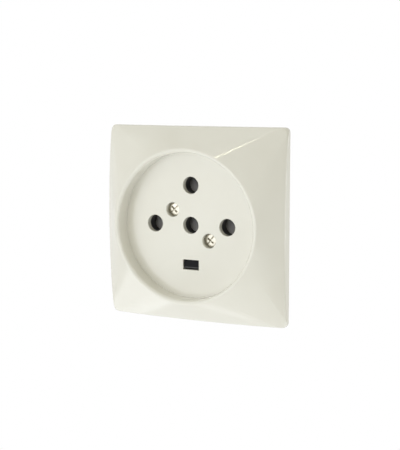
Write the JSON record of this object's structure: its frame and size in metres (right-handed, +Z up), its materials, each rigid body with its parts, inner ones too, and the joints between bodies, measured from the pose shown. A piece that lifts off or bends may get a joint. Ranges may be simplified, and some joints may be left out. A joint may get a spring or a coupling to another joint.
{
  "type": "three-phase wall socket",
  "caption": "Square cream flush wall socket with a round plug well, shuttered round pin holes, a flat earth slot, sunk cover screws and rear screw terminals.",
  "frame": {"origin": "centre of the socket on the wall plane, midway between the wall-box screw holes", "axes": "+Y into the wall, +Z up, +X to the right for someone facing the socket"},
  "size_m": [0.08, 0.0439, 0.08],
  "materials": {
    "cream_plastic": "glossy moulded thermoset",
    "black_plastic": "matt moulded",
    "grey_plastic": "matt moulded",
    "sheet_steel": "zinc plated",
    "screw_steel": "nickel plated",
    "spring_steel": "drawn wire",
    "contact_brass": "rolled"
  },
  "bodies": {
    "socket": {"cover": "cream_plastic", "cover_screws": "screw_steel", "cover_nuts": "contact_brass", "guide_plate": "black_plastic", "base_screws": "screw_steel", "frame_screws": "screw_steel", "support_frame": "sheet_steel", "base": "black_plastic", "shutter_springs": "spring_steel", "contact_top": "contact_brass", "contact_left": "contact_brass", "contact_centre": "contact_brass", "contact_right": "contact_brass", "contact_rings": "spring_steel", "earth_contact": "contact_brass", "terminal_clamps": "screw_steel", "terminal_screws": "screw_steel", "rear_cover": "black_plastic", "rear_cover_screws": "screw_steel"},
    "shutter_slide_body": {"shutter": "grey_plastic"}
  },
  "joints": [
    {"name": "shutter_slide", "type": "slide", "parent": "socket", "child": "shutter_slide_body", "axis": [0, 0, -1], "range_m": [0, 0.00815], "stiffness_N_per_m": 150, "springref_m": -0.004, "deforming": ["shutter_springs"]}
  ]
}
